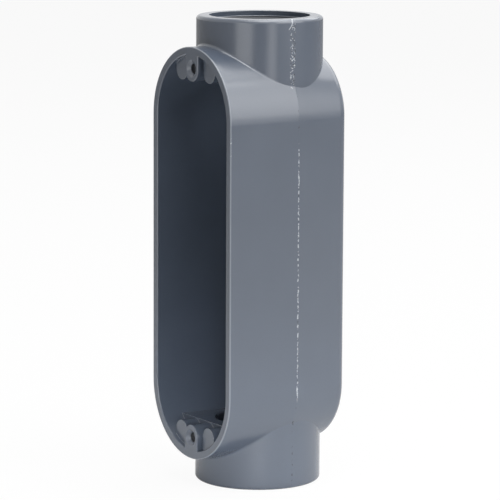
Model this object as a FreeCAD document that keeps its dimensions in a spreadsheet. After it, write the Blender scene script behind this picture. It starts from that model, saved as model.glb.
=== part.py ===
import FreeCAD, Part
import math
import os

import Sketcher

# A one-piece die-cast conduit body: a drafted round-ended box that is open on one long side for a
# gasketed cover, with a threaded conduit hub cast on each end.
# Millimetres, +Z up along the hubs, origin on the hubs' axis where the lower conduit thread starts,
# and the open cover face looks towards -Y.

doc = FreeCAD.newDocument("conduit_body")
sheet = doc.addObject("Spreadsheet::Sheet", "Sizes")

SIZES = (
    ("face_half_width", 34.7, "half the width of the box, from the cover face to the parting plane"),
    ("half_straight", 65.6, "mid-height to the centre of each round end"),
    ("cover_reach", 39.0, "hub axis to the cover face"),
    ("back_reach", 31.2, "hub axis to the flat back"),
    ("back_half_width", 30.3, "half the width of the flat back before its edge is rounded"),
    ("back_edge_radius", 5.0, "rounding round the flat back"),
    ("rim_width", 3.8, "wall at the cover face, across the gasket land"),
    ("rim_outer_round", 0.45, "rounding of the land's outer edge"),
    ("rim_inner_break", 0.4, "chamfer of the land's inner edge"),
    ("back_wall", 3.6, "thickness of the back"),
    ("floor_half_width", 27.3, "half the width of the wiring chamber at its floor"),
    ("floor_radius", 3.5, "rounding round the chamber floor"),
    ("hub_radius", 30.65, "outside of a hub"),
    ("hub_stand", 13.8, "how far a hub stands out past the box's round end"),
    ("hub_root", 24.2, "how far a hub runs on inside the box's round end"),
    ("hub_end_round", 1.8, "rounding of a hub's outer end"),
    ("hub_root_round", 1.2, "rounding where a hub meets the front half of the box"),
    ("hub_depth", 30.8, "hub end face to the hub wall's inner face"),
    ("hub_wall_reach", 28.3, "hub axis to the front of the hub wall"),
    ("lead_in_radius", 24.5, "smooth start of the conduit bore"),
    ("lead_in_depth", 2.4, "depth of the smooth start"),
    ("bore_radius", 24.0, "threaded conduit bore, at the root of its thread"),
    ("bore_depth", 24.0, "hub end face to the conduit stop"),
    ("throat_radius", 20.6, "hole through the integral bushing"),
    ("throat_lip", 1.5, "rounding of the bushing towards the chamber"),
    ("screw_inset", 10.4, "tip of the box's round end to the cover screw"),
    ("lug_half_width", 5.55, "half the width of the cover screw lug"),
    ("screw_bore", 4.8, "diameter of the tapped cover screw hole"),
    ("screw_depth", 13.0, "depth of the tapped hole"),
    ("countersink", 8.2, "diameter of the hole's cast countersink"),
    ("countersink_angle", 100, "full angle of the countersink, in degrees"),
    ("pad_offset", 12.1, "middle of the lug to the middle of an ejector pad"),
    ("pad_half_width", 5.0, "half the width of an ejector pad"),
    ("pad_recess", 2.45, "cover face to the front of an ejector pad"),
    ("column_root", 1.0, "how far the lug and the pads run on into the hub wall"),
    ("crest_drop", 0.35, "hub wall's inner face to the crest of the lug and the pads"),
)
for row, (alias, size, note) in enumerate(SIZES, start=1):
    sheet.set(f"A{row}", str(size))
    sheet.set(f"B{row}", note)
    sheet.setAlias(f"A{row}", alias)
doc.recompute()


def size(alias):
    """The number that a cell of the sheet holds."""
    return float(sheet.get(alias))


# Mid-height to the tip of the box's round end, and to the hub's end face.
BOX_TIP = "(Sizes.half_straight + Sizes.face_half_width)"
HUB_END = "(Sizes.half_straight + Sizes.face_half_width + Sizes.hub_stand)"
box_tip = size("half_straight") + size("face_half_width")
hub_end = box_tip + size("hub_stand")

body = doc.addObject("PartDesign::Body", "conduit_body")
body.Label = "conduit_body"
# The body is modelled about its mid-height and then lifted, so that its lower bore starts at Z 0.
body.setExpression("Placement.Base.z", f"{HUB_END} - Sizes.lead_in_depth")
ORIGIN_PLANES = {feature.Role: feature for feature in body.Origin.OriginFeatures}


def add_sketch(name, plane, offset=None):
    """An empty sketch on one of the body's origin planes, moved along its normal by an expression.

    On XZ_Plane the sketch's x is X, its y is Z, and its normal points to -Y.
    """
    sketch = body.newObject("Sketcher::SketchObject", name)
    sketch.AttachmentSupport = [(ORIGIN_PLANES[plane], "")]
    sketch.MapMode = "FlatFace"
    if offset:
        sketch.setExpression("AttachmentOffset.Base.z", offset)
    return sketch


def bind(sketch, constraint, name, expression):
    """Adds a sketch dimension and ties it to the sheet."""
    index = sketch.addConstraint(constraint)
    sketch.renameConstraint(index, name)
    sketch.setExpression(f"Constraints.{name}", expression)


def arc(x, y, radius, start, end):
    circle = Part.Circle(FreeCAD.Vector(x, y, 0), FreeCAD.Vector(0, 0, 1), radius)
    return Part.ArcOfCircle(circle, start, end)


def line(x1, y1, x2, y2):
    return Part.LineSegment(FreeCAD.Vector(x1, y1, 0), FreeCAD.Vector(x2, y2, 0))


def add_round_ended_outline(name, offset, half_width, expression):
    """A closed outline with straight sides and a half circle at each end."""
    sketch = add_sketch(name, "XZ_Plane", offset)
    reach = size("half_straight")
    sketch.addGeometry(arc(0, reach, half_width, 0, math.pi))
    sketch.addGeometry(line(-half_width, reach, -half_width, -reach))
    sketch.addGeometry(arc(0, -reach, half_width, math.pi, 2 * math.pi))
    sketch.addGeometry(line(half_width, -reach, half_width, reach))
    for first, second in ((0, 1), (1, 2), (2, 3), (3, 0)):
        sketch.addConstraint(Sketcher.Constraint("Tangent", first, 2, second, 1))
    sketch.addConstraint(Sketcher.Constraint("PointOnObject", 0, 3, -2))
    sketch.addConstraint(Sketcher.Constraint("PointOnObject", 2, 3, -2))
    upper = Sketcher.Constraint("DistanceY", -1, 1, 0, 3, reach)
    lower = Sketcher.Constraint("DistanceY", 2, 3, -1, 1, reach)
    bind(sketch, upper, "upper_centre", "Sizes.half_straight")
    bind(sketch, lower, "lower_centre", "Sizes.half_straight")
    bind(sketch, Sketcher.Constraint("Radius", 0, half_width), "upper_radius", expression)
    bind(sketch, Sketcher.Constraint("Radius", 2, half_width), "lower_radius", expression)
    return sketch


def add_fillet(name, base, edges, expression):
    """Rounds the given edges of the base feature."""
    fillet = body.newObject("PartDesign::Fillet", name)
    fillet.Base = (base, [f"Edge{number}" for number in edges])
    fillet.setExpression("Radius", expression)
    doc.recompute()
    return fillet


def add_chamfer(name, base, edges, expression):
    """Breaks the given edges of the base feature."""
    chamfer = body.newObject("PartDesign::Chamfer", name)
    chamfer.Base = (base, [f"Edge{number}" for number in edges])
    chamfer.setExpression("Size", expression)
    doc.recompute()
    return chamfer


def edges_where(feature, test):
    """Numbers of the feature's edges that pass a test."""
    return [n for n, edge in enumerate(feature.Shape.Edges, start=1) if test(edge)]


def add_mirror(name, original):
    """Repeats a feature on the other side of mid-height."""
    mirror = body.newObject("PartDesign::Mirrored", name)
    mirror.Originals = [original]
    mirror.MirrorPlane = (ORIGIN_PLANES["XY_Plane"], [""])
    body.Tip = mirror
    doc.recompute()
    return mirror


# How near two numbers have to be to count as the same, and how far a cut runs past the material.
NEAR = 0.01
BEYOND = 1.0


def lies_at_y(edge, y):
    box = edge.BoundBox
    return abs(box.YMin - y) < NEAR and abs(box.YMax - y) < NEAR


# The front half of the outside, up to the parting plane, is made as a blank that is the same on both
# sides of that plane: the box with straight sides, the hubs, and the rounding where they meet.
front_blank = body.newObject("PartDesign::Pad", "front_blank")
front_blank.Profile = add_round_ended_outline(
    "parting_outline", None, size("face_half_width"), "Sizes.face_half_width"
)
front_blank.Midplane = True
front_blank.setExpression("Length", "2 * Sizes.cover_reach")
doc.recompute()

hub_circle = add_sketch("hub_circle", "XY_Plane", f"{BOX_TIP} - Sizes.hub_root")
hub_circle.addGeometry(
    Part.Circle(FreeCAD.Vector(0, 0, 0), FreeCAD.Vector(0, 0, 1), size("hub_radius"))
)
hub_circle.addConstraint(Sketcher.Constraint("Coincident", 0, 3, -1, 1))
bind(
    hub_circle,
    Sketcher.Constraint("Radius", 0, size("hub_radius")),
    "radius",
    "Sizes.hub_radius",
)


def add_hubs(name):
    """The two round bosses that run from inside the round ends to the hub end faces."""
    hub = body.newObject("PartDesign::Pad", name)
    hub.Profile = hub_circle
    hub.setExpression("Length", "Sizes.hub_root + Sizes.hub_stand")
    doc.recompute()
    return add_mirror(name + "s", hub)


def on_hub_root(edge):
    """An edge where a hub's wall meets the round end of the blank."""
    points = edge.discretize(7)
    radius = size("hub_radius")
    on_hub = all(abs(math.hypot(point.x, point.y) - radius) < NEAR for point in points)
    return on_hub and edge.BoundBox.ZLength > NEAR and edge.BoundBox.XLength > radius


front_hubs = add_hubs("front_hub")
add_fillet(
    "hub_root_rounding", front_hubs, edges_where(front_hubs, on_hub_root), "Sizes.hub_root_round"
)

back_cut_outline = add_sketch("back_cut_outline", "XZ_Plane")
corner_x = size("face_half_width") + BEYOND
corner_z = hub_end + BEYOND
corners = (
    (-corner_x, -corner_z),
    (corner_x, -corner_z),
    (corner_x, corner_z),
    (-corner_x, corner_z),
)
for index, corner in enumerate(corners):
    back_cut_outline.addGeometry(line(*corner, *corners[(index + 1) % 4]))
for index, kind in enumerate(("Horizontal", "Vertical", "Horizontal", "Vertical")):
    back_cut_outline.addConstraint(Sketcher.Constraint(kind, index))
    next_line = (index + 1) % 4
    back_cut_outline.addConstraint(Sketcher.Constraint("Coincident", index, 2, next_line, 1))
back_cut_outline.addConstraint(Sketcher.Constraint("Symmetric", 0, 1, 1, 2, -1, 1))
width = Sketcher.Constraint("DistanceX", 0, 1, 0, 2, 2 * corner_x)
height = Sketcher.Constraint("DistanceY", 1, 1, 1, 2, 2 * corner_z)
bind(back_cut_outline, width, "width", f"2 * (Sizes.face_half_width + {BEYOND})")
bind(back_cut_outline, height, "height", f"2 * ({HUB_END} + {BEYOND})")
back_cut = body.newObject("PartDesign::Pocket", "back_cut")
back_cut.Profile = back_cut_outline
back_cut.setExpression("Length", f"Sizes.cover_reach + {BEYOND}")
doc.recompute()

# The back half draws in from the parting plane to the flat back, and the hubs are made whole.
back_half = body.newObject("PartDesign::Pad", "back_half")
back_half.Profile = add_round_ended_outline(
    "back_outline", None, size("face_half_width"), "Sizes.face_half_width"
)
back_half.Reversed = True
back_half.setExpression("Length", "Sizes.back_reach")
back_half.setExpression(
    "TaperAngle", "-atan((Sizes.face_half_width - Sizes.back_half_width) / Sizes.back_reach)"
)
doc.recompute()

back_reach = size("back_reach")


def on_flat_back(edge):
    """An edge of the flat back, clear of the hubs."""
    return lies_at_y(edge, back_reach)


add_fillet(
    "back_rounding", back_half, edges_where(back_half, on_flat_back), "Sizes.back_edge_radius"
)
hubs = add_hubs("hub")


def on_hub_end(edge):
    box = edge.BoundBox
    return abs(abs(box.ZMin) - hub_end) < NEAR and abs(box.ZMax - box.ZMin) < NEAR


add_fillet("hub_end_rounding", hubs, edges_where(hubs, on_hub_end), "Sizes.hub_end_round")

# The wiring chamber: a drafted pocket from the cover face to the back wall.
chamber_depth = "(Sizes.cover_reach + Sizes.back_reach - Sizes.back_wall)"
chamber_half_width = "(Sizes.face_half_width - Sizes.rim_width)"
mouth = add_round_ended_outline(
    "chamber_mouth",
    "Sizes.cover_reach",
    size("face_half_width") - size("rim_width"),
    chamber_half_width,
)
chamber = body.newObject("PartDesign::Pocket", "chamber")
chamber.Profile = mouth
chamber.setExpression("Length", chamber_depth)
chamber.setExpression(
    "TaperAngle", f"-atan(({chamber_half_width} - Sizes.floor_half_width) / {chamber_depth})"
)
doc.recompute()

floor_y = size("back_reach") - size("back_wall")
add_fillet(
    "floor_rounding",
    chamber,
    edges_where(chamber, lambda edge: lies_at_y(edge, floor_y)),
    "Sizes.floor_radius",
)


# The hub walls: each fills the chamber's round end behind the cover screw lug, so that the bore has
# a flat inner face. It is drafted like the chamber and buried half-way into the box's wall.
def add_hub_wall_outline(name, offset, radius, radius_expression):
    """The part of a round end that lies beyond the hub wall's flat inner face."""
    sketch = add_sketch(name, "XZ_Plane", offset)
    centre = size("half_straight")
    flat = hub_end - size("hub_depth")
    half_chord = math.sqrt(radius**2 - (flat - centre) ** 2)
    start = math.atan2(flat - centre, half_chord)
    sketch.addGeometry(arc(0, centre, radius, start, math.pi - start))
    sketch.addGeometry(line(-half_chord, flat, half_chord, flat))
    sketch.addConstraint(Sketcher.Constraint("Coincident", 0, 2, 1, 1))
    sketch.addConstraint(Sketcher.Constraint("Coincident", 1, 2, 0, 1))
    sketch.addConstraint(Sketcher.Constraint("Horizontal", 1))
    sketch.addConstraint(Sketcher.Constraint("PointOnObject", 0, 3, -2))
    to_centre = Sketcher.Constraint("DistanceY", -1, 1, 0, 3, centre)
    to_flat = Sketcher.Constraint("DistanceY", -1, 1, 1, 1, flat)
    bind(sketch, to_centre, "centre", "Sizes.half_straight")
    bind(sketch, to_flat, "inner_face", f"{HUB_END} - Sizes.hub_depth")
    bind(sketch, Sketcher.Constraint("Radius", 0, radius), "radius", radius_expression)
    return sketch


front_radius = size("face_half_width") - size("rim_width") / 2
back_radius = size("floor_half_width") + size("rim_width") / 2
wall_front = add_hub_wall_outline(
    "hub_wall_front",
    "Sizes.hub_wall_reach",
    front_radius,
    "Sizes.face_half_width - Sizes.rim_width / 2",
)
wall_back = add_hub_wall_outline(
    "hub_wall_back",
    "Sizes.back_wall / 2 - Sizes.back_reach",
    back_radius,
    "Sizes.floor_half_width + Sizes.rim_width / 2",
)
upper_hub_wall = body.newObject("PartDesign::AdditiveLoft", "upper_hub_wall")
upper_hub_wall.Profile = wall_front
upper_hub_wall.Sections = [wall_back]
upper_hub_wall.Ruled = True
doc.recompute()
add_mirror("hub_walls", upper_hub_wall)
inner_face = hub_end - size("hub_depth")


# The cover screw lugs and the ejector pads beside them: round-nosed columns that stand on the front
# of each hub wall.
def add_column(name, middle, middle_expression, alias, front):
    """A column under a round-nosed outline, from its front back into the hub wall."""
    sketch = add_sketch(name + "_outline", "XZ_Plane", front)
    half_width = size(alias)
    crest = hub_end - size("hub_depth") + size("crest_drop")
    nose = crest + half_width
    centre = size("half_straight")
    left = middle - half_width
    right = middle + half_width
    left_end = centre + math.sqrt(front_radius**2 - left**2)
    right_end = centre + math.sqrt(front_radius**2 - right**2)
    start = math.atan2(right_end - centre, right)
    end = math.atan2(left_end - centre, left)
    sketch.addGeometry(arc(middle, nose, half_width, math.pi, 2 * math.pi))
    sketch.addGeometry(line(right, nose, right, right_end))
    sketch.addGeometry(arc(0, centre, front_radius, start, end))
    sketch.addGeometry(line(left, left_end, left, nose))
    sketch.addConstraint(Sketcher.Constraint("Tangent", 0, 2, 1, 1))
    sketch.addConstraint(Sketcher.Constraint("Coincident", 1, 2, 2, 1))
    sketch.addConstraint(Sketcher.Constraint("Coincident", 2, 2, 3, 1))
    sketch.addConstraint(Sketcher.Constraint("Tangent", 3, 2, 0, 1))
    sketch.addConstraint(Sketcher.Constraint("Vertical", 1))
    sketch.addConstraint(Sketcher.Constraint("Vertical", 3))
    sketch.addConstraint(Sketcher.Constraint("PointOnObject", 2, 3, -2))
    bind(sketch, Sketcher.Constraint("Radius", 0, half_width), "half_width", f"Sizes.{alias}")
    bind(
        sketch,
        Sketcher.Constraint("DistanceY", -1, 1, 0, 3, nose),
        "nose",
        f"{HUB_END} - Sizes.hub_depth + Sizes.crest_drop + Sizes.{alias}",
    )
    bind(
        sketch,
        Sketcher.Constraint("DistanceY", -1, 1, 2, 3, centre),
        "round_end",
        "Sizes.half_straight",
    )
    bind(
        sketch,
        Sketcher.Constraint("Radius", 2, front_radius),
        "end_radius",
        "Sizes.face_half_width - Sizes.rim_width / 2",
    )
    if middle_expression:
        to_middle = Sketcher.Constraint("DistanceX", -1, 1, 0, 3, middle)
        bind(sketch, to_middle, "middle", middle_expression)
    else:
        sketch.addConstraint(Sketcher.Constraint("PointOnObject", 0, 3, -2))
    column = body.newObject("PartDesign::Pad", name)
    column.Profile = sketch
    column.Reversed = True
    column.setExpression("Length", f"{front} - Sizes.hub_wall_reach + Sizes.column_root")
    doc.recompute()
    return column


add_mirror(
    "lugs",
    add_column("cover_lug", 0, None, "lug_half_width", "Sizes.cover_reach"),
)
for side, sign in (("left", -1), ("right", 1)):
    add_mirror(
        f"{side}_pads",
        add_column(
            f"{side}_pad",
            sign * size("pad_offset"),
            f"{sign} * Sizes.pad_offset",
            "pad_half_width",
            "(Sizes.cover_reach - Sizes.pad_recess)",
        ),
    )

# Inside each hub: a smooth start, the bore that the conduit screws into, the stop at its end, and
# the integral bushing with its rounded lip.
bore_profile = add_sketch("bore_profile", "XZ_Plane")
lead_in = size("lead_in_radius")
lead_in_end = hub_end - size("lead_in_depth")
bore = size("bore_radius")
stop = hub_end - size("bore_depth")
throat = size("throat_radius")
lip = size("throat_lip")
steps = (
    (0, hub_end + BEYOND),
    (lead_in, hub_end + BEYOND),
    (lead_in, lead_in_end),
    (bore, lead_in_end),
    (bore, stop),
    (throat, stop),
    (throat, inner_face + lip),
)
for first, second in zip(steps, steps[1:]):
    bore_profile.addGeometry(line(*first, *second))
bore_profile.addGeometry(arc(throat + lip, inner_face + lip, lip, math.pi, 1.5 * math.pi))
bore_profile.addGeometry(line(throat + lip, inner_face, throat + lip, inner_face - BEYOND))
bore_profile.addGeometry(line(throat + lip, inner_face - BEYOND, 0, inner_face - BEYOND))
bore_profile.addGeometry(line(0, inner_face - BEYOND, 0, hub_end + BEYOND))
OUTER_STEP, LEAD_IN_WALL, LEAD_IN_STEP, BORE_WALL, STOP_STEP = range(5)
THROAT_WALL, LIP, LIP_END, INNER_STEP, AXIS = range(5, 10)
for first in range(AXIS + 1):
    kind = "Tangent" if first == THROAT_WALL else "Coincident"
    second = (first + 1) % (AXIS + 1)
    bore_profile.addConstraint(Sketcher.Constraint(kind, first, 2, second, 1))
for index in (OUTER_STEP, LEAD_IN_STEP, STOP_STEP, INNER_STEP):
    bore_profile.addConstraint(Sketcher.Constraint("Horizontal", index))
for index in (LEAD_IN_WALL, BORE_WALL, THROAT_WALL, LIP_END):
    bore_profile.addConstraint(Sketcher.Constraint("Vertical", index))
bore_profile.addConstraint(Sketcher.Constraint("Vertical", LIP, 3, LIP, 2))
bore_profile.addConstraint(Sketcher.Constraint("PointOnObject", AXIS, 1, -2))
bore_profile.addConstraint(Sketcher.Constraint("PointOnObject", AXIS, 2, -2))
radii = (
    ("lead_in_radius", LEAD_IN_WALL, lead_in),
    ("bore_radius", BORE_WALL, bore),
    ("throat_radius", THROAT_WALL, throat),
)
for alias, index, value in radii:
    from_axis = Sketcher.Constraint("DistanceX", -1, 1, index, 1, value)
    bind(bore_profile, from_axis, alias, f"Sizes.{alias}")
stations = (
    ("outer_end", OUTER_STEP, 1, hub_end + BEYOND, str(BEYOND)),
    ("lead_in_end", LEAD_IN_STEP, 1, lead_in_end, "-Sizes.lead_in_depth"),
    ("stop", STOP_STEP, 1, stop, "-Sizes.bore_depth"),
    ("lip_centre", LIP, 3, inner_face + lip, "Sizes.throat_lip - Sizes.hub_depth"),
    ("inner_end", INNER_STEP, 1, inner_face - BEYOND, f"-Sizes.hub_depth - {BEYOND}"),
)
for name, index, point, value, expression in stations:
    from_middle = Sketcher.Constraint("DistanceY", -1, 1, index, point, value)
    bind(bore_profile, from_middle, name, f"{HUB_END} + {expression}")
bind(bore_profile, Sketcher.Constraint("Radius", LIP, lip), "lip", "Sizes.throat_lip")
doc.recompute()
upper_bore = body.newObject("PartDesign::Groove", "upper_bore")
upper_bore.Profile = bore_profile
upper_bore.ReferenceAxis = (bore_profile, ["V_Axis"])
upper_bore.Angle = 360
doc.recompute()
add_mirror("bores", upper_bore)

# The tapped holes for the cover screws, each with a cast countersink that starts the screw.
screw_points = add_sketch("screw_points", "XZ_Plane", "Sizes.cover_reach")
reach = box_tip - size("screw_inset")
for index, sign in enumerate((1, -1)):
    centre = FreeCAD.Vector(0, sign * reach, 0)
    radius = size("screw_bore") / 2
    screw_points.addGeometry(Part.Circle(centre, FreeCAD.Vector(0, 0, 1), radius))
    screw_points.addConstraint(Sketcher.Constraint("PointOnObject", index, 3, -2))
    bind(
        screw_points,
        Sketcher.Constraint("Diameter", index, 2 * radius),
        f"bore_{index}",
        "Sizes.screw_bore",
    )
above = Sketcher.Constraint("DistanceY", -1, 1, 0, 3, reach)
below = Sketcher.Constraint("DistanceY", 1, 3, -1, 1, reach)
bind(screw_points, above, "above", f"{BOX_TIP} - Sizes.screw_inset")
bind(screw_points, below, "below", f"{BOX_TIP} - Sizes.screw_inset")
doc.recompute()
screw_holes = body.newObject("PartDesign::Hole", "screw_holes")
screw_holes.Profile = screw_points
doc.recompute()
screw_holes.ThreadType = "None"
screw_holes.DepthType = "Dimension"
screw_holes.DrillPoint = "Angled"
screw_holes.HoleCutType = "Countersink"
screw_holes.HoleCutCustomValues = True
screw_holes.setExpression("Diameter", "Sizes.screw_bore")
screw_holes.setExpression("Depth", "Sizes.screw_depth")
screw_holes.setExpression("HoleCutDiameter", "Sizes.countersink")
screw_holes.setExpression("HoleCutCountersinkAngle", "Sizes.countersink_angle")
doc.recompute()

# The gasket land's outer edge is rounded and its inner edge, with the lugs', is broken.
cover_y = -size("cover_reach")
face_half_width = size("face_half_width")
half_straight = size("half_straight")


def on_land(edge, outer):
    """An edge in the plane of the land: its outer outline, or its inner one with the lugs."""
    if not lies_at_y(edge, cover_y) or edge.Closed:
        return False
    point = edge.discretize(3)[1]
    past_straight = max(abs(point.z) - half_straight, 0)
    on_outline = abs(math.hypot(point.x, past_straight) - face_half_width) < NEAR
    return on_outline == outer


land_outer = add_fillet(
    "land_outer_rounding",
    screw_holes,
    edges_where(screw_holes, lambda edge: on_land(edge, True)),
    "Sizes.rim_outer_round",
)
land_inner = add_chamfer(
    "land_inner_break",
    land_outer,
    edges_where(land_outer, lambda edge: on_land(edge, False)),
    "Sizes.rim_inner_break",
)
body.Tip = land_inner
doc.recompute()

FAULTS = ("Invalid", "Error")
for thing in doc.Objects:
    if any(fault in thing.State for fault in FAULTS):
        raise RuntimeError(f"{thing.Name} failed: {thing.State}")
if body.Shape.isNull() or not body.Shape.isValid() or len(body.Shape.Solids) != 1:
    raise RuntimeError(f"{body.Label} is not one valid solid")

os.makedirs("parts", exist_ok=True)
body.Shape.exportStep(f"parts/{body.Label}.step")
print(f"{body.Label}: {body.Shape.Volume / 1000:.1f} cm3, {len(body.Shape.Faces)} faces")
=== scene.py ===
import math

import bpy
from mathutils import Matrix, Vector


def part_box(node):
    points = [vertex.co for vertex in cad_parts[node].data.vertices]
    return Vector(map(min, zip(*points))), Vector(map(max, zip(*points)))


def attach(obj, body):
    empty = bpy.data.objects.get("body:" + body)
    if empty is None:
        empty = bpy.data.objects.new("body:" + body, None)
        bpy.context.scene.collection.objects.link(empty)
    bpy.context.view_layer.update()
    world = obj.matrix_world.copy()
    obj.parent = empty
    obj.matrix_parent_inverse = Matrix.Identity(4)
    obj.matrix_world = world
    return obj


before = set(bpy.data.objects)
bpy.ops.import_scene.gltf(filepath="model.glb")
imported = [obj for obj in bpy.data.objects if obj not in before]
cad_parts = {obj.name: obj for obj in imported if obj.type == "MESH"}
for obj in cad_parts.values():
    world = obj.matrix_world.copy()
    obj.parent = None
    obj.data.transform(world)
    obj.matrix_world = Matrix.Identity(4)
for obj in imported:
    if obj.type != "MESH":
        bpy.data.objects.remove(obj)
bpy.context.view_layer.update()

# A cast conduit body stands on its lower hub, on a pale studio floor. Metres, +Z up.
# The casting itself is the loaded frame. Only the threads are modelled here.

mm = 0.001
castLow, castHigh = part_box("conduit_body")
middle = Vector((0, 0, (castLow.z + castHigh.z) / 2))
print("frame loaded")


class Wire:
    # A shader value that works in plain arithmetic: each operation adds a Math node.
    def __init__(self, shader, socket):
        self.shader = shader
        self.socket = socket

    def __add__(self, other):
        return self.shader.math("ADD", self, other)

    def __radd__(self, other):
        return self.shader.math("ADD", other, self)

    def __sub__(self, other):
        return self.shader.math("SUBTRACT", self, other)

    def __rsub__(self, other):
        return self.shader.math("SUBTRACT", other, self)

    def __mul__(self, other):
        return self.shader.math("MULTIPLY", self, other)

    def __rmul__(self, other):
        return self.shader.math("MULTIPLY", other, self)

    def __truediv__(self, other):
        return self.shader.math("DIVIDE", self, other)

    def __abs__(self):
        return self.shader.math("ABSOLUTE", self)


class Shader:
    # The node tree of a material or the world, with short ways to add nodes to it.
    def __init__(self, owner):
        self.owner = owner
        owner.use_nodes = True
        self.tree = owner.node_tree
        self.tree.nodes.clear()

    def node(self, kind, settings=None, inputs=None):
        made = self.tree.nodes.new(kind)
        for name, value in (settings or {}).items():
            setattr(made, name, value)
        for name, value in (inputs or {}).items():
            self.feed(made.inputs[name], value)
        return made

    def feed(self, socket, value):
        if isinstance(value, Wire):
            value = value.socket
        if isinstance(value, bpy.types.NodeSocket):
            self.tree.links.new(value, socket)
        else:
            socket.default_value = value

    def math(self, operation, *values):
        made = self.node("ShaderNodeMath", {"operation": operation}, dict(enumerate(values)))
        return Wire(self, made.outputs[0])

    def rise(self, value, span):
        # 0 where the value is at or under the span's start, 1 at or over its end, smooth between.
        settings = {"interpolation_type": "SMOOTHSTEP"}
        inputs = {"Value": value, "From Min": span[0], "From Max": span[1]}
        return Wire(self, self.node("ShaderNodeMapRange", settings, inputs).outputs["Result"])

    def fall(self, value, span):
        return 1 - self.rise(value, span)

    def largest(self, first, *others):
        for other in others:
            first = self.math("MAXIMUM", first, other)
        return first

    def length(self, across, along):
        return self.math("SQRT", across * across + along * along)

    def mixColour(self, factor, first, second, blend="MIX"):
        settings = {"data_type": "RGBA", "blend_type": blend}
        return self.node("ShaderNodeMix", settings, {0: factor, 6: first, 7: second}).outputs[2]

    def noise(self, vector, size, detail=2.0, roughness=0.5):
        inputs = {"Vector": vector, "Scale": 1 / size, "Detail": detail, "Roughness": roughness}
        return Wire(self, self.node("ShaderNodeTexNoise", None, inputs).outputs[0])

    def specks(self, vector, size, span, roughness=0.65):
        return self.rise(self.noise(vector, size, 2.0, roughness), span)

    def backdropShare(self, inView, inReflections):
        # How far a backdrop shows as plain white to the camera, and to shiny or clear surfaces.
        path = self.node("ShaderNodeLightPath")
        kinds = ("Is Camera Ray", "Is Glossy Ray", "Is Transmission Ray")
        camera, glossy, clear = [Wire(self, path.outputs[name]) for name in kinds]
        return self.largest(camera * inView, self.largest(glossy, clear) * inReflections)

    def finish(self, surface, output="ShaderNodeOutputMaterial"):
        self.node(output, None, {"Surface": surface.outputs[0]})
        return self.owner


coat = {
    "colour": (0.078, 0.096, 0.130, 1.0),
    "bareColour": (0.50, 0.53, 0.57, 1.0),
    # The edge colour is a painted highlight along sharp edges and the rim's outer edge.
    "edgeHighlightColour": (0.46, 0.50, 0.56, 1.0),
    "darkColour": (0.012, 0.014, 0.019, 1.0),
    "bareShare": 0.85,
    "edgeHighlightShare": 0.9,
    "pitShare": 0.7,
    "boreShadeShare": 0.95,
    "roughness": 0.2,
    "bareRoughness": 0.2,
    "tappedRoughness": 0.6,
    "specular": 1.0,
    "cloudSize": 18 * mm,
    "cloudTone": 0.10,
    "cloudRoughness": 0.08,
    "peelSize": 1.3 * mm,
    "peelRelief": 0.55,
    "grainSize": 0.35 * mm,
    "grainTone": 0.14,
    "grainRelief": 0.55,
    "markRelief": 1.2,
    "reliefDepth": 0.12 * mm,
    "reliefStrength": 0.28,
    "edgeRadius": 0.25 * mm,
    "edgeCut": (0.07, 0.25),
}
# Where the box's outside starts: out from its ends' turning line, and out from the middle plane.
outsideSkin = {
    "endCentre": 65.6 * mm,
    "radius": (32.6 * mm, 33.0 * mm),
    "fromMiddle": (27.5 * mm, 27.9 * mm),
}
partingLine = {
    "wanderSize": 3.5 * mm,
    "wanderWidth": 1.4 * mm,
    "fade": (0.1 * mm, 0.5 * mm),
    "above": (-72 * mm, -66 * mm),
    "below": (52 * mm, 56 * mm),
    "clusterSize": 13 * mm,
    "clusterCut": (0.30, 0.46),
    "crumbSize": 1.1 * mm,
    "crumbCut": (0.47, 0.54),
    "pitSize": 1.5 * mm,
    "pitCut": (0.56, 0.62),
}
dressedStrip = {
    "above": (80.5 * mm, 82.5 * mm),
    "front": (-3.2 * mm, -2.0 * mm),
    "back": (0.0, 0.25 * mm),
    "crumbSize": 0.95 * mm,
    "crumbCut": (0.57, 0.64),
    "pitSize": 1.2 * mm,
    "pitCut": (0.56, 0.62),
}
flashCurl = {
    "top": castHigh.z - 0.6 * mm,
    "length": 4.4 * mm,
    "start": -1.4 * mm,
    "swing": -2.1 * mm,
    "fade": (0.12 * mm, 0.3 * mm),
    "side": (27 * mm, 28 * mm),
    "topFade": (-0.1, 0.05),
    "endFade": (0.9, 1.05),
}
rimEdge = {
    "behindFace": (0.2 * mm, 0.9 * mm),
    "insideEdge": (-0.6 * mm, -0.3 * mm),
    # How strongly the painted highlight line shows on the rim's outer edge.
    "highlightShare": 0.35,
    "nickSize": 1.3 * mm,
    "nickCut": (0.58, 0.64),
    "nicksAbove": (46 * mm, 56 * mm),
    "nicksBelow": (58 * mm, 66 * mm),
}
# The threaded walls of the hubs and cover screw holes, where the coat is painted near black as
# painted shade.
tappedWalls = {
    "hubRadius": (24.1 * mm, 24.3 * mm),
    "hubStart": (2.4 * mm, 2.7 * mm),
    "hubEnd": (25 * mm, 25.5 * mm),
    "screwReach": 89.9 * mm,
    "screwRadius": (2.45 * mm, 2.6 * mm),
    "screwStart": (1.6 * mm, 1.9 * mm),
    "screwEnd": (14.0 * mm, 14.5 * mm),
}


def outwardFrom(paint, at):
    # How far a place is out from the upright line that the box's round ends turn about.
    beyondEnd = paint.largest(abs(at["height"]) - outsideSkin["endCentre"], 0.0)
    return paint.length(at["x"], beyondEnd)


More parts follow.
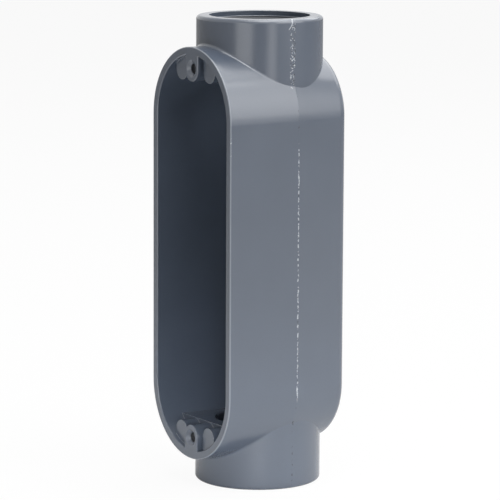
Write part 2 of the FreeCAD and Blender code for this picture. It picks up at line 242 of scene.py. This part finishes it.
def seamMarks(paint, at):
    # Bright crumbs and dark pits of the casting's parting line, on the outside only.
    here, y, height = at["here"], at["y"], at["height"]
    outside = paint.rise(at["outward"], outsideSkin["radius"])
    outside = outside * paint.rise(abs(at["x"]), outsideSkin["fromMiddle"])

    # Down each side runs a fine broken ridge.
    line = partingLine
    wander = (paint.noise(here, line["wanderSize"]) - 0.5) * line["wanderWidth"]
    ridge = paint.fall(abs(y + wander), line["fade"]) * outside
    clusters = paint.rise(paint.noise(here, line["clusterSize"], 1.0), line["clusterCut"])
    alongSides = paint.rise(height, line["above"]) * paint.fall(height, line["below"])
    crumbs = paint.specks(here, line["crumbSize"], line["crumbCut"]) * ridge * clusters * alongSides
    pits = paint.specks(here, line["pitSize"], line["pitCut"], 0.6) * ridge

    # On the upper hub the flash was dressed off by hand, which left a rough strip before the line.
    strip = dressedStrip
    rough = paint.rise(y, strip["front"]) * paint.fall(y, strip["back"])
    rough = rough * paint.rise(height, strip["above"]) * outside
    roughCrumbs = paint.specks(here, strip["crumbSize"], strip["crumbCut"]) * rough
    roughPits = paint.specks(here, strip["pitSize"], strip["pitCut"]) * rough

    # One short curl of flash is left at the top of that line.
    down = (flashCurl["top"] - at["z"]) / flashCurl["length"]
    offCurl = abs(y - flashCurl["start"] - down * down * flashCurl["swing"])
    curl = paint.fall(offCurl, flashCurl["fade"]) * paint.rise(at["x"], flashCurl["side"])
    curl = curl * paint.rise(down, flashCurl["topFade"]) * paint.fall(down, flashCurl["endFade"])
    return paint.largest(crumbs, roughCrumbs, curl), paint.largest(pits, roughPits)


def rimHighlightAndNicks(paint, at):
    # The rounded outer edge of the cover face: a painted highlight line all round, and small nicks
    # near the top.
    edge = paint.fall(at["y"] - castLow.y, rimEdge["behindFace"])
    edge = edge * paint.rise(at["outward"] - castHigh.x, rimEdge["insideEdge"])
    nicks = paint.rise(paint.noise(at["here"], rimEdge["nickSize"], 3.0, 0.65), rimEdge["nickCut"])
    nicks = nicks * paint.rise(at["height"], rimEdge["nicksAbove"])
    nicks = nicks * paint.fall(at["height"], rimEdge["nicksBelow"])
    return edge * rimEdge["highlightShare"], edge * nicks


def shadedBoresMask(paint, at):
    # Painted shade: 1 on the threaded walls of the hubs and of the cover screw holes, which are
    # painted near black.
    walls = tappedWalls
    x, y, height = at["x"], at["y"], at["height"]
    hubDepth = (castHigh.z - middle.z) - abs(height)
    alongHub = paint.rise(hubDepth, walls["hubStart"]) * paint.fall(hubDepth, walls["hubEnd"])
    inHub = paint.fall(paint.length(x, y), walls["hubRadius"]) * alongHub
    offScrew = paint.length(x, abs(height) - walls["screwReach"])
    depth = y - castLow.y
    alongScrew = paint.rise(depth, walls["screwStart"]) * paint.fall(depth, walls["screwEnd"])
    inScrew = paint.fall(offScrew, walls["screwRadius"]) * alongScrew
    return paint.largest(inHub, inScrew)


def makePowderCoat():
    paint = Shader(bpy.data.materials.new("powderCoat"))
    here = paint.node("ShaderNodeTexCoord").outputs["Object"]
    split = paint.node("ShaderNodeSeparateXYZ", None, {"Vector": here})
    x, y, z = [Wire(paint, socket) for socket in split.outputs]
    at = {"here": here, "x": x, "y": y, "z": z, "height": z - middle.z}
    at["outward"] = outwardFrom(paint, at)

    bright, dark = seamMarks(paint, at)
    rimHighlight, nicks = rimHighlightAndNicks(paint, at)
    bright = paint.largest(bright, nicks)
    shadedBores = shadedBoresMask(paint, at)

    # Painted highlight: the coat is painted paler along sharp edges, where the rounded normal
    # leaves the true one.
    rounded = paint.node("ShaderNodeBevel", {"samples": 8}, {"Radius": coat["edgeRadius"]})
    trueNormal = paint.node("ShaderNodeNewGeometry").outputs["Normal"]
    normals = {0: rounded.outputs[0], 1: trueNormal}
    agreement = paint.node("ShaderNodeVectorMath", {"operation": "DOT_PRODUCT"}, normals)
    sharpness = 1 - Wire(paint, agreement.outputs["Value"])
    edge = paint.largest(paint.rise(sharpness, coat["edgeCut"]), rimHighlight)

    cloud = paint.noise(here, coat["cloudSize"], 3.0, 0.55) - 0.5
    peel = paint.noise(here, coat["peelSize"])
    grain = paint.noise(here, coat["grainSize"], 1.0)
    tone = cloud * coat["cloudTone"] + (grain - 0.5) * coat["grainTone"] + 1.0
    grey = paint.node("ShaderNodeCombineColor", None, {"Red": tone, "Green": tone, "Blue": tone})
    colour = paint.mixColour(1.0, coat["colour"], grey.outputs[0], "MULTIPLY")
    # Painted highlight: sharp edges and the rim's outer edge are painted paler.
    colour = paint.mixColour(edge * coat["edgeHighlightShare"], colour, coat["edgeHighlightColour"])
    colour = paint.mixColour(dark * coat["pitShare"], colour, coat["darkColour"])
    colour = paint.mixColour(bright * coat["bareShare"], colour, coat["bareColour"])
    # Painted shade: the threaded walls inside the hubs and screw holes are painted near black.
    colour = paint.mixColour(shadedBores * coat["boreShadeShare"], colour, coat["darkColour"])

    roughness = cloud * coat["cloudRoughness"] + coat["roughness"]
    roughness = roughness + bright * coat["bareRoughness"] + shadedBores * coat["tappedRoughness"]
    relief = peel * coat["peelRelief"] + grain * coat["grainRelief"]
    bumpInputs = {
        "Strength": coat["reliefStrength"],
        "Distance": coat["reliefDepth"],
        "Height": relief + (bright - dark) * coat["markRelief"],
        "Normal": rounded.outputs[0],
    }
    surfaceInputs = {
        "Base Color": colour,
        "Roughness": roughness,
        "Specular IOR Level": coat["specular"],
        "Normal": paint.node("ShaderNodeBump", None, bumpInputs).outputs[0],
    }
    return paint.finish(paint.node("ShaderNodeBsdfPrincipled", None, surfaceInputs))


powderCoat = makePowderCoat()
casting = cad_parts["conduit_body"]
for place in casting.material_slots:
    place.material = powderCoat
print("powder coat made")


def deselectAll():
    bpy.ops.object.select_all(action="DESELECT")


def cutThread(name, thread, position, rotation):
    # A blunt ridge in section, wound up inside a hole and closed at both ends.
    deselectAll()
    rootRadius, crestRadius = thread["rootRadius"], thread["crestRadius"]
    depth = rootRadius - crestRadius
    width = thread["pitch"] * thread["rootShare"]
    middleRadius = (rootRadius + crestRadius) / 2
    bpy.ops.mesh.primitive_plane_add(size=1, location=(0, 0, 0), rotation=(math.pi / 2, 0, 0))
    bpy.ops.object.transform_apply(location=True, rotation=True, scale=True)
    ridge = bpy.context.active_object
    ridge.name = ridge.data.name = name
    bpy.ops.object.mode_set(mode="EDIT")
    bpy.ops.mesh.select_all(action="SELECT")
    bpy.ops.transform.resize(value=(depth, 1, width), center_override=(0, 0, 0))
    bpy.ops.transform.translate(value=(middleRadius, 0, 0))
    bpy.ops.mesh.delete(type="ONLY_FACE")
    bpy.ops.mesh.select_all(action="DESELECT")
    bpy.ops.object.mode_set(mode="OBJECT")
    for corner in ridge.data.vertices:
        corner.select = corner.co.x < middleRadius
    bpy.ops.object.mode_set(mode="EDIT")
    bpy.ops.transform.resize(value=(1, 1, thread["crestShare"]), center_override=(0, 0, 0))
    bpy.ops.object.mode_set(mode="OBJECT")

    turns = thread["length"] / thread["pitch"]
    winding = ridge.modifiers.new("winding", "SCREW")
    winding.axis = "Z"
    winding.angle = 2 * math.pi * turns
    winding.screw_offset = thread["length"]
    winding.steps = winding.render_steps = round(thread["stepsPerTurn"] * turns)
    bpy.ops.object.modifier_apply(modifier=winding.name)
    bpy.ops.object.mode_set(mode="EDIT")
    bpy.ops.mesh.select_all(action="SELECT")
    bpy.ops.mesh.remove_doubles(threshold=0.001 * mm)
    bpy.ops.mesh.select_all(action="DESELECT")
    bpy.ops.mesh.select_non_manifold(extend=False)
    bpy.ops.mesh.fill()
    bpy.ops.mesh.select_all(action="SELECT")
    bpy.ops.mesh.normals_make_consistent(inside=False)
    bpy.ops.object.mode_set(mode="OBJECT")
    ridge.location, ridge.rotation_euler = position, rotation
    bpy.ops.object.transform_apply(location=True, rotation=True, scale=True)
    bpy.ops.object.shade_smooth_by_angle(angle=math.radians(35))
    ridge.data.materials.append(powderCoat)
    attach(ridge, "root")
    return ridge


hubThread = {
    "pitch": 25.4 / 11.5 * mm,
    "rootRadius": 24.02 * mm,
    "crestRadius": 22.75 * mm,
    "rootShare": 0.86,
    "crestShare": 0.18,
    "length": 18.6 * mm,
    "start": 2.6 * mm,
    "stepsPerTurn": 72,
}
cutThread("lowerHubThread", hubThread, (0, 0, castLow.z + hubThread["start"]), (0, 0, 0))
cutThread("upperHubThread", hubThread, (0, 0, castHigh.z - hubThread["start"]), (math.pi, 0, 0))

screwThread = {
    "pitch": 25.4 / 24 * mm,
    "rootRadius": 2.41 * mm,
    "crestRadius": 1.95 * mm,
    "rootShare": 0.86,
    "crestShare": 0.18,
    "length": 8.5 * mm,
    "start": 3.0 * mm,
    "stepsPerTurn": 24,
}
for label, side in (("lower", -1), ("upper", 1)):
    screwStart = (0, castLow.y + screwThread["start"], middle.z + side * tappedWalls["screwReach"])
    cutThread(label + "ScrewThread", screwThread, screwStart, (-math.pi / 2, 0, 0))
print("threads cut")


white = (1.0, 1.0, 1.0, 1.0)
floorSettings = {
    "width": 16.0,
    "colour": (0.80, 0.80, 0.80, 1.0),
    "inView": 0.94,
    "inReflections": 0.3,
}


def makeFloorPaint():
    paper = Shader(bpy.data.materials.new("floorPaper"))
    matte = paper.node("ShaderNodeBsdfDiffuse", None, {"Color": floorSettings["colour"]})
    glow = paper.node("ShaderNodeEmission", None, {"Color": white, "Strength": 1.0})
    share = paper.backdropShare(floorSettings["inView"], floorSettings["inReflections"])
    shaders = {0: share, 1: matte.outputs[0], 2: glow.outputs[0]}
    return paper.finish(paper.node("ShaderNodeMixShader", None, shaders))


deselectAll()
bpy.ops.mesh.primitive_plane_add(size=floorSettings["width"], location=(0, 0, castLow.z))
floor = bpy.context.active_object
floor.name = "floor"
floor.data.materials.append(makeFloorPaint())

roomLevel = 0.05


def makeRoom():
    room = Shader(bpy.data.worlds.new("studio"))
    light = room.node("ShaderNodeBackground", None, {"Color": white, "Strength": roomLevel})
    backdrop = room.node("ShaderNodeBackground", None, {"Color": white, "Strength": 1.0})
    shaders = {0: room.backdropShare(1.0, 1.0), 1: light.outputs[0], 2: backdrop.outputs[0]}
    return room.finish(room.node("ShaderNodeMixShader", None, shaders), "ShaderNodeOutputWorld")


bpy.context.scene.world = makeRoom()
print("floor and room made")


# Each soft light: where it stands about the casting's middle (degrees round from -Y towards +X,
# degrees above the horizon, distance), how far above the middle it aims, its size, how bright its
# face is and how wide its beam is.
lights = {
    "rightPanel": {
        "round": 118, "above": 27, "distance": 1.6,
        "width": 1.5, "height": 1.5, "level": 0.7, "spread": 100,
    },
    "backPanel": {
        "round": 200, "above": 44, "distance": 1.6,
        "width": 1.7, "height": 1.1, "level": 2.0,
    },
    "overhead": {
        "round": 100, "above": 76, "distance": 1.4,
        "width": 1.3, "height": 1.3, "level": 4.0,
    },
    "leftStrip": {
        "round": 30, "above": 4, "distance": 0.62,
        "width": 0.33, "height": 0.34, "level": 1.25,
    },
    "rightStrip": {
        "round": 79, "above": 4, "distance": 0.62,
        "width": 0.16, "height": 0.34, "level": 1.2,
    },
    "footLight": {
        "round": 58, "above": 5, "distance": 0.37, "aim": -0.1,
        "width": 0.56, "height": 0.06, "level": 0.9, "spread": 30,
    },
}


def addSoftLight(name, settings):
    turn, lift = math.radians(settings["round"]), math.radians(settings["above"])
    level = math.cos(lift)
    away = Vector((math.sin(turn) * level, -math.cos(turn) * level, math.sin(lift)))
    lamp = bpy.data.lights.new(name, "AREA")
    lamp.shape = "RECTANGLE"
    lamp.size, lamp.size_y = settings["width"], settings["height"]
    lamp.energy = math.pi * settings["width"] * settings["height"] * settings["level"]
    lamp.spread = math.radians(settings.get("spread", 180))
    holder = bpy.data.objects.new(name, lamp)
    target = middle + Vector((0, 0, settings.get("aim", 0)))
    holder.location = target + away * settings["distance"]
    holder.rotation_euler = (-away).to_track_quat("-Z", "Y").to_euler()
    bpy.context.collection.objects.link(holder)


for lightName, lightSettings in lights.items():
    addSoftLight(lightName, lightSettings)
print("lights placed")


view = {
    "place": Vector((1263.9, -835.3, 352.07)) * mm,
    "round": 56.54,
    "downTilt": 8.96,
    "roll": 0.30,
    "lens": 226.11,
    "shift": -0.0169,
}
cameraData = bpy.data.cameras.new("camera")
cameraData.sensor_width = 36
cameraData.lens = view["lens"]
cameraData.shift_x = view["shift"]
cameraData.clip_start = 0.01
camera = bpy.data.objects.new("camera", cameraData)
bpy.context.collection.objects.link(camera)
swing = Matrix.Rotation(math.radians(view["round"]), 4, "Z")
tilt = Matrix.Rotation(math.radians(90 - view["downTilt"]), 4, "X")
roll = Matrix.Rotation(math.radians(view["roll"]), 4, "Z")
standing = Matrix.Translation(view["place"] + Vector((0, 0, castLow.z)))
camera.matrix_world = standing @ swing @ tilt @ roll
bpy.context.scene.camera = camera
bpy.context.scene.view_settings.view_transform = "Standard"
print("camera set")
